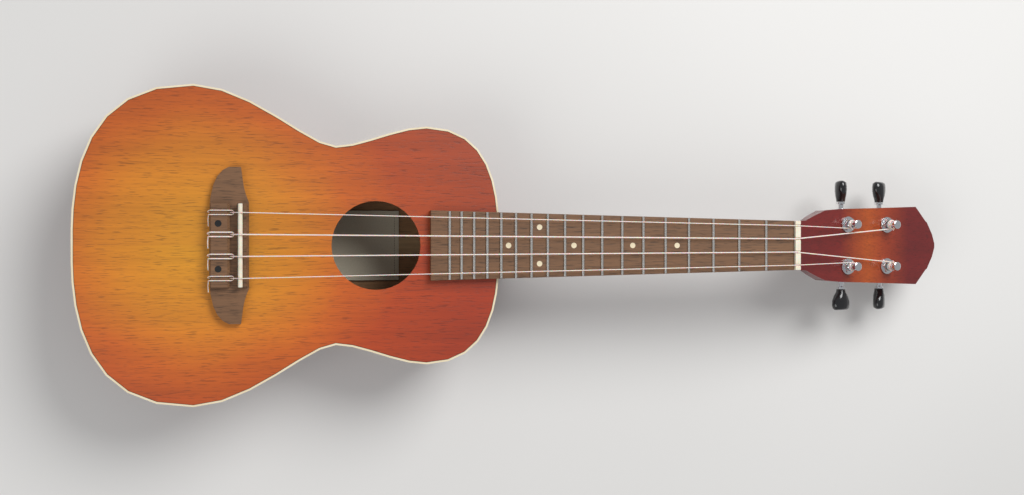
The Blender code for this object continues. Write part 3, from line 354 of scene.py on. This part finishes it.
def plain_wood(name, colour, roughness, figure, streaks, pores):
    made, tree, shader = new_material(name, roughness)
    add_grain(tree, shader, colour, 0.003, figure, streaks, pores, 0.04 * MM)
    return made


def dress(name, material, bevel=0.0, crease=32):
    """A piece that stands for a CAD node: its mesh merged, shaded smooth, its edges eased."""
    node = frame["nodes"][name]
    piece = bpy.data.objects.new(f"{name}_shown", node.data.copy())
    bpy.context.scene.collection.objects.link(piece)
    work = bmesh.new()
    work.from_mesh(piece.data)
    bmesh.ops.remove_doubles(work, verts=work.verts, dist=0.002 * MM)
    bmesh.ops.dissolve_limit(
        work, angle_limit=math.radians(0.6), verts=work.verts, edges=work.edges
    )
    for face in work.faces:
        face.smooth = True
    for edge in work.edges:
        edge.smooth = edge.is_manifold and edge.calc_face_angle() < math.radians(crease)
    work.to_mesh(piece.data)
    work.free()
    piece.data.materials.clear()
    piece.data.materials.append(material)
    if bevel:
        eased = piece.modifiers.new("eased edges", "BEVEL")
        eased.width = bevel
        eased.segments = 2
        eased.limit_method = "ANGLE"
        eased.angle_limit = math.radians(crease)
        eased.harden_normals = True
    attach(piece, node["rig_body"])
    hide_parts(name)
    return piece


sunburst = sunburst_material()
cherry = cherry_material()
spruce = plain_wood("bare_spruce", (0.62, 0.42, 0.22), 0.7, 0.15, 0.35, 0.05)
inside_back = plain_wood("bare_back_wood", (0.50, 0.27, 0.12), 0.6, 0.25, 0.25, 0.35)

dress("soundboard", sunburst)
dress("side_bass", cherry)
dress("side_treble", cherry)
back = dress("back_plate", cherry)
back.data.materials.append(inside_back)
inner_face, plate_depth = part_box("back_plate")[1].z, 0.5 * MM
for face in back.data.polygons:
    if face.normal.z > 0.9 and face.center.z > inner_face - plate_depth:
        face.material_index = 1
for name in ("neck_block", "tail_block", "top_lining", "back_lining"):
    dress(name, spruce, 0.3 * MM)
for name in ("top_bracing", "back_bracing", "bridge_plate"):
    dress(name, spruce)

# Binding and label.
# Cream strips are glued into the corners of the sound box; a plain paper label with a
# dotted border is glued to the back where it shows through the soundhole.


def clouded_material(name, roughness, scale, detail, first, second, **values):
    """A plain finish whose colour drifts between two."""
    made, tree, shader = new_material(name, roughness, **values)
    mask = cloud(tree, scale, detail).outputs["Mask"]
    tree.links.new(mix_colour(tree, mask, first, second), shader.inputs["Base Color"])
    return made


cream = clouded_material(
    "cream_binding", 0.35, 60.0, 2.0, (0.80, 0.68, 0.46), (0.86, 0.76, 0.55), Coat_Weight=0.2
)
dress("top_binding", cream)
dress("back_binding", cream)

label_low_x, label_high_x = 52 * MM, 110 * MM
label_low_y, label_high_y = -24.6 * MM, 24.6 * MM
label_border, dot_height, dot_spacing = 3.0 * MM, 0.25 * MM, 1.2 * MM
label_gap, label_top = 0.02 * MM, 0.2 * MM


def label_material():
    """Cream paper with a border of small dots, set out from the label's own sides."""
    made, tree, shader = new_material("label_paper", 0.8)
    split = add_node(tree, "ShaderNodeSeparateXYZ", {"Vector": object_coordinates(tree)})
    insets = []
    for axis, low, high in (
        ("X", label_low_x, label_high_x),
        ("Y", label_low_y, label_high_y),
    ):
        centred = maths(tree, "SUBTRACT", split.outputs[axis], (low + high) / 2)
        away = maths(tree, "ABSOLUTE", centred)
        insets.append(maths(tree, "SUBTRACT", (high - low) / 2, away))
    line = maths(tree, "COMPARE", maths(tree, "MINIMUM", *insets), label_border, dot_height)
    along = maths(tree, "ADD", split.outputs["X"], split.outputs["Y"])
    wave = maths(tree, "SINE", maths(tree, "MULTIPLY", along, 2 * math.pi / dot_spacing))
    dots = maths(tree, "MULTIPLY", line, maths(tree, "GREATER_THAN", wave, 0.0))
    fibres = cloud(tree, 900.0, 3.0).outputs["Mask"]
    paper = mix_colour(tree, fibres, (0.74, 0.68, 0.52), (0.80, 0.74, 0.58))
    printed = mix_colour(tree, dots, paper, (0.30, 0.24, 0.16))
    tree.links.new(printed, shader.inputs["Base Color"])
    return made


def add_piece(name, work, material, body):
    """A finished bmesh as a named piece that rides on a body."""
    mesh = bpy.data.meshes.new(name)
    work.to_mesh(mesh)
    work.free()
    mesh.materials.append(material)
    piece = bpy.data.objects.new(name, mesh)
    bpy.context.scene.collection.objects.link(piece)
    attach(piece, body)
    return piece


def box_piece(name, low, high, material):
    work = bmesh.new()
    size = Vector(high) - Vector(low)
    middle = (Vector(high) + Vector(low)) / 2
    place = Matrix.Translation(middle) @ Matrix.Diagonal((*size, 1))
    bmesh.ops.create_cube(work, size=1, matrix=place)
    return add_piece(name, work, material, "root")


strip_thickness = 1.5 * MM
strip_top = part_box("back_bracing")[0].z + strip_thickness
box_piece(
    "plain_label",
    (label_low_x, label_low_y, strip_top + label_gap),
    (label_high_x, label_high_y, strip_top + label_top),
    label_material(),
)

# Bridge and saddle.
# A walnut tie bridge is glued on the top, with a bone saddle in its slot and two
# black plugs set into the tie block over its hidden screws.

walnut = plain_wood("oiled_walnut", (0.235, 0.115, 0.052), 0.48, 0.35, 0.45, 0.6)


def disc(work, centre, radius, low, high):
    """A short upright cylinder with an eased upper edge."""
    middle = (low + high) / 2
    made = bmesh.ops.create_cone(
        work,
        cap_ends=True,
        segments=32,
        radius1=radius,
        radius2=radius,
        depth=high - low,
        matrix=Matrix.Translation((*centre, middle)),
    )
    rim = {
        edge
        for vertex in made["verts"]
        if vertex.co.z > middle
        for edge in vertex.link_edges
        if all(end.co.z > middle for end in edge.verts)
    }
    bmesh.ops.bevel(work, geom=list(rim), offset=0.12 * MM, segments=2, affect="EDGES")


bone = clouded_material(
    "polished_bone",
    0.3,
    180.0,
    3.0,
    (0.80, 0.72, 0.56),
    (0.88, 0.82, 0.68),
    Subsurface_Weight=0.15,
    Subsurface_Scale=0.002,
)
black = clouded_material(
    "gloss_black_plastic",
    0.12,
    90.0,
    2.0,
    (0.008, 0.008, 0.009),
    (0.013, 0.013, 0.014),
    Coat_Weight=0.4,
)
dress("bridge", walnut, 0.35 * MM)
dress("saddle", bone, 0.25 * MM)
tie_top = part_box("bridge")[1].z
plug_x, plug_radius, plug_sunk, plug_proud = -13.8 * MM, 2.25 * MM, 0.4 * MM, 0.08 * MM
for side, plug_y in (("bass", 14.0 * MM), ("treble", -15.1 * MM)):
    work = bmesh.new()
    disc(work, (plug_x, plug_y), plug_radius, tie_top - plug_sunk, tie_top + plug_proud)
    add_piece(f"bridge_plug_{side}", work, black, "root")

# Neck, fingerboard, frets and nut.
# A one-piece stained neck carries a walnut fingerboard with nickel frets, cream dots
# and a bone nut; everything is glued or pressed in.


def polished_metal(name, colour, roughness):
    """Metal whose gloss varies a little from place to place."""
    made, tree, shader = new_material(name, roughness, Metallic=1.0)
    varied = add_node(
        tree,
        "ShaderNodeMapRange",
        {
            "Value": cloud(tree, 700.0, 2.0).outputs["Noise"],
            "To Min": roughness * 0.7,
            "To Max": roughness * 1.4,
        },
    )
    tree.links.new(varied.outputs["Result"], shader.inputs["Roughness"])
    shader.inputs["Base Color"].default_value = (*colour, 1)
    return made


nickel = polished_metal("nickel_silver", (0.72, 0.70, 0.66), 0.24)
dress("neck", cherry, crease=40)
dress("fingerboard", walnut, 0.25 * MM)
dress("nut", bone, 0.3 * MM)
fret_places = {}
for number in range(1, 19):
    name = f"fret_{number:02d}"
    dress(name, nickel, crease=50)
    low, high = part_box(name)
    fret_places[number] = (low.x + high.x) / 2

# A dot lies half way between its fret and the one before it; the twelfth fret has two.
board_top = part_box("fingerboard")[1].z
dot_radius, dot_sunk, dot_proud, dot_pair = 2.0 * MM, 0.3 * MM, 0.04 * MM, 12.3 * MM
for number in (5, 7, 10, 12, 14):
    dot_x = (fret_places[number] + fret_places[number - 1]) / 2
    offsets = (-dot_pair, dot_pair) if number == 12 else (0.0,)
    for count, offset in enumerate(offsets, 1):
        work = bmesh.new()
        disc(work, (dot_x, offset), dot_radius, board_top - dot_sunk, board_top + dot_proud)
        add_piece(f"position_dot_{number:02d}_{count}", work, cream, "root")

# Tuning machines.
# Chrome bushings, posts, gears and worm shafts in closed housings under the
# headstock; each shaft carries a glossy black button.

chrome = polished_metal("bright_chrome", (0.80, 0.81, 0.83), 0.08)
for string in "gcea":
    dress(f"bushing_{string}", chrome, 0.15 * MM, 28)
    dress(f"post_{string}", chrome, crease=35)
    dress(f"worm_shaft_{string}", chrome, crease=35)
    dress(f"housing_{string}", chrome, 0.2 * MM)
    dress(f"button_{string}", black, crease=60)

# Strings.
# Four clear pinkish nylon strings, each tied at the bridge, over the saddle and nut,
# and wound on its post. They follow the same routes as the CAD strings.

GAP = 0.3 * MM
COURSES = (
    ("g", 0.61 * MM, 1.5, "near"),
    ("c", 0.91 * MM, 0.5, "far"),
    ("e", 0.81 * MM, -0.5, "far"),
    ("a", 0.61 * MM, -1.5, "near"),
)
SPREAD_NUT, SPREAD_SADDLE = 27.8 * MM, 42.1 * MM
NUT_X, NUT_LENGTH = 381.5 * MM, 4.5 * MM
BODY_DEPTH = 66 * MM
HEAD_FRAME = Matrix.Translation((NUT_X + NUT_LENGTH, 0, BODY_DEPTH)) @ Matrix.Rotation(
    math.radians(14), 4, "Y"
)
POST_ALONG = {"near": 45.7 * MM, "far": 82.4 * MM}
POST_OFFSET, POST_WAIST = 15.2 * MM, 2.3 * MM
STRING_AT_NUT = 73.3 * MM
STRING_RISE = (2.6 - 0.5) / 190
SADDLE_TOP = STRING_AT_NUT + STRING_RISE * NUT_X - GAP
SADDLE_RADIUS = 1.5 * MM
BRIDGE_TOP = 70.2 * MM
TIE_TOP, TIE_HOLE_Z = 74.4 * MM, 71.5 * MM
TIE_BACK_X, TIE_FRONT_X = -19.0 * MM, -6.6 * MM
TIE_OFFSET, TIE_TAIL = 1.4 * MM, 9.0 * MM
STRING_TAIL = 2.2 * MM
HEX_TOP = 3.2 * MM
WINDING_TURNS, WINDING_GAP, WINDING_FOOT = 2.25, 0.5 * MM, 1.0 * MM
WINDING_POINTS = 48
BEND_TURN, HOLE_TURN = math.radians(32), math.radians(62)
STRING_SIDES = 14


def smooth_curve(points, steps):
    """Points of a smooth curve through the given ones."""
    ends = [points[0] * 2 - points[1]] + points + [points[-1] * 2 - points[-2]]
    curve = []
    for a, b, c, d in zip(ends, ends[1:], ends[2:], ends[3:]):
        for i in range(steps):
            t = i / steps
            curve.append(
                0.5
                * (
                    2 * b
                    + (c - a) * t
                    + (2 * a - 5 * b + 4 * c - d) * t * t
                    + (3 * b - a - 3 * c + d) * t**3
                )
            )
    curve.append(points[-1])
    return curve


def tie_route(diameter, place):
    """From the tail, over the tie block, round the string and back, and out of the hole."""
    clear = GAP + diameter / 2
    y = place * SPREAD_SADDLE / 3
    over = TIE_TOP + clear + 0.1 * MM
    behind = TIE_BACK_X - clear - 0.3 * MM
    side = TIE_OFFSET
    low = BRIDGE_TOP + clear + 0.05 * MM
    loop_x = TIE_FRONT_X + 2.3 * MM
    points = [
        (behind, -TIE_TAIL, low + 0.6 * MM),
        (behind - 0.2 * MM, -0.55 * TIE_TAIL, low + 0.9 * MM),
        (behind, -side - 0.8 * MM, low + 2.0 * MM),
        (behind + 0.2 * MM, -side, TIE_TOP - 0.7 * MM),
        (TIE_BACK_X + 0.7 * MM, -side, over + 0.1 * MM),
        (TIE_BACK_X + 3.0 * MM, -side, over),
        (TIE_FRONT_X - 3.0 * MM, -side, over),
        (TIE_FRONT_X - 0.4 * MM, -side, over - 0.1 * MM),
        (TIE_FRONT_X + 1.3 * MM, -side, TIE_TOP - 1.3 * MM),
        (loop_x, -0.5 * side, low + 0.2 * MM),
        (loop_x + 0.1 * MM, 0.5 * side, low + 0.2 * MM),
        (TIE_FRONT_X + 1.3 * MM, side, TIE_TOP - 1.3 * MM),
        (TIE_FRONT_X - 0.4 * MM, side, over - 0.1 * MM),
        (TIE_FRONT_X - 3.0 * MM, side, over),
        (TIE_BACK_X + 3.0 * MM, side, over),
        (TIE_BACK_X + 0.7 * MM, side, over + 0.1 * MM),
        (behind + 0.2 * MM, 0.8 * side, TIE_TOP - 0.7 * MM),
        (behind - 0.3 * MM, 0.25 * side, TIE_HOLE_Z + 0.7 * MM),
        (TIE_BACK_X + 1.0 * MM, 0, TIE_HOLE_Z),
    ]
    return smooth_curve([Vector((x, y + across, z)) for x, across, z in points], 5)


def saddle_route(diameter, place):
    """Out of the tie block and over the crown of the saddle."""
    y = place * SPREAD_SADDLE / 3
    entry = [
        Vector((TIE_FRONT_X - 3.0 * MM, y, TIE_HOLE_Z)),
        Vector((TIE_FRONT_X - 0.3 * MM, y, TIE_HOLE_Z + 0.1 * MM)),
        Vector((TIE_FRONT_X + 1.5 * MM, y, TIE_HOLE_Z + 1.4 * MM)),
    ]
    around = SADDLE_RADIUS + GAP + diameter / 2
    centre_z = SADDLE_TOP - SADDLE_RADIUS
    down = math.atan2(centre_z - entry[-1].z + around / 2, -entry[-1].x - around / 2)
    crown = []
    for i in range(5):
        turn = math.pi / 2 + down * (1 - i / 4)
        crown.append(
            Vector((around * math.cos(turn), y, centre_z + around * math.sin(turn)))
        )
    return smooth_curve(entry + crown, 4)


def winding_route(diameter, place, where):
    """Over the nut, to the post, round it and into its hole."""
    at_nut = Vector((NUT_X, place * SPREAD_NUT / 3, STRING_AT_NUT + diameter / 2))
    sense = 1 if place > 0 else -1
    centre = Vector((POST_ALONG[where], sense * POST_OFFSET))
    radius = POST_WAIST + GAP + diameter / 2
    run = centre - Vector((0, at_nut.y))
    heading = math.atan2(run.y, run.x) - sense * math.asin(radius / run.length)
    contact = heading - sense * math.pi / 2
    foot = HEX_TOP + GAP + WINDING_FOOT
    pitch = diameter + WINDING_GAP
    coil = []
    for i in range(round(WINDING_TURNS * WINDING_POINTS) + 1):
        turn = contact + sense * 2 * math.pi * i / WINDING_POINTS
        coil.append(
            Vector(
                (
                    centre.x + radius * math.cos(turn),
                    centre.y + radius * math.sin(turn),
                    foot + pitch * i / WINDING_POINTS,
                )
            )
        )
    hole_z = foot + pitch * (WINDING_TURNS + 0.9)
    last = contact + sense * 2 * math.pi * WINDING_TURNS
    hole_turn = last + sense * HOLE_TURN
    into = Vector((math.cos(hole_turn), math.sin(hole_turn), 0))
    middle = Vector((centre.x, centre.y, hole_z))
    swing = last + sense * BEND_TURN
    bend = Vector((math.cos(swing), math.sin(swing), 0)) * (radius + 0.25 * MM)
    entering = [
        coil[-1],
        Vector((centre.x, centre.y, hole_z - pitch * 0.3)) + bend,
        middle + into * (radius + 0.1 * MM),
        middle + into * (POST_WAIST - 0.6 * MM),
        middle - into * (POST_WAIST + 0.5 * MM),
        middle - into * (POST_WAIST + STRING_TAIL),
    ]
    coil += smooth_curve(entering, 6)[1:]
    placed = [HEAD_FRAME @ point for point in coil]
    over_nut = at_nut + (placed[0] - at_nut) * (NUT_LENGTH / (placed[0].x - at_nut.x))
    return [at_nut, over_nut] + placed


def tube(name, route, radius, sides, material, body):
    """A round tube along a route, its ring carried from point to point without twisting."""
    work = bmesh.new()
    rings = []
    normal = Vector((0, 0, 1))
    for i, point in enumerate(route):
        ahead = (route[min(i + 1, len(route) - 1)] - route[max(i - 1, 0)]).normalized()
        normal = (normal - ahead * normal.dot(ahead)).normalized()
        across = ahead.cross(normal)
        rings.append(
            [
                work.verts.new(
                    point
                    + normal * radius * math.cos(2 * math.pi * k / sides)
                    + across * radius * math.sin(2 * math.pi * k / sides)
                )
                for k in range(sides)
            ]
        )
    for first, second in zip(rings, rings[1:]):
        for k in range(sides):
            after = (k + 1) % sides
            work.faces.new((first[k], first[after], second[after], second[k]))
    work.faces.new(reversed(rings[0]))
    work.faces.new(rings[-1])
    bmesh.ops.recalc_face_normals(work, faces=work.faces)
    for face in work.faces:
        face.smooth = len(face.verts) == 4
    return add_piece(name, work, material, body)


nylon = clouded_material(
    "clear_nylon",
    0.25,
    150.0,
    2.0,
    (0.86, 0.70, 0.64),
    (0.90, 0.77, 0.71),
    Subsurface_Weight=0.4,
    Subsurface_Scale=0.001,
    IOR=1.53,
)
for name, diameter, place, where in COURSES:
    route = tie_route(diameter, place) + saddle_route(diameter, place)
    route += winding_route(diameter, place, where)
    string = tube(
        f"string_{name}_round", route, diameter / 2, STRING_SIDES, nylon, "root"
    )
    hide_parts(f"string_{name}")

# Floor, light and camera.
# A pale floor and background under a large soft lamp at the upper right of the
# picture, with a weaker one opposite; the camera stands over the bridge.


def area_lamp(name, place, target, size, power):
    data = bpy.data.lights.new(name, "AREA")
    data.shape = "DISK"
    data.size = size
    data.energy = power
    lamp = bpy.data.objects.new(name, data)
    lamp.location = place
    lamp.rotation_mode = "QUATERNION"
    lamp.rotation_quaternion = (Vector(target) - Vector(place)).to_track_quat("-Z", "Y")
    bpy.context.scene.collection.objects.link(lamp)


floor_middle, floor_half, floor_gap = 0.2, 4.0, 0.5 * MM
pale = clouded_material("pale_floor", 0.7, 3.0, 1.0, (0.72, 0.71, 0.69), (0.75, 0.74, 0.72))
work = bmesh.new()
bmesh.ops.create_grid(
    work,
    x_segments=1,
    y_segments=1,
    size=floor_half,
    matrix=Matrix.Translation((floor_middle, 0, cad_low.z - floor_gap)),
)
mesh = bpy.data.meshes.new("floor")
work.to_mesh(mesh)
work.free()
mesh.materials.append(pale)
floor = bpy.data.objects.new("floor", mesh)
bpy.context.scene.collection.objects.link(floor)

lit_middle = (floor_middle, 0.0, 0.05)
key_place, fill_place = (0.75, 0.75, 1.1), (-0.7, -0.6, 1.0)
area_lamp("soft_key", key_place, lit_middle, 0.9, 16.0)
area_lamp("soft_fill", fill_place, lit_middle, 1.0, 5.0)

world = bpy.data.worlds.new("pale_room")
world.use_nodes = True
background = world.node_tree.nodes["Background"]
background.inputs["Color"].default_value = (0.80, 0.81, 0.83, 1)
background.inputs["Strength"].default_value = 0.45
bpy.context.scene.world = world
bpy.context.scene.view_settings.view_transform = "Standard"

camera_x, camera_height, camera_tilt = 2.67 * MM, 897.1 * MM, math.radians(-12)
lens = bpy.data.cameras.new("photo_camera")
lens.sensor_width = 36.0
lens.lens = 44.24
lens.shift_y = -0.002
camera = bpy.data.objects.new("photo_camera", lens)
camera.location = (camera_x, 0, camera_height)
camera.rotation_euler = (0, camera_tilt, 0)
bpy.context.scene.collection.objects.link(camera)
bpy.context.scene.camera = camera
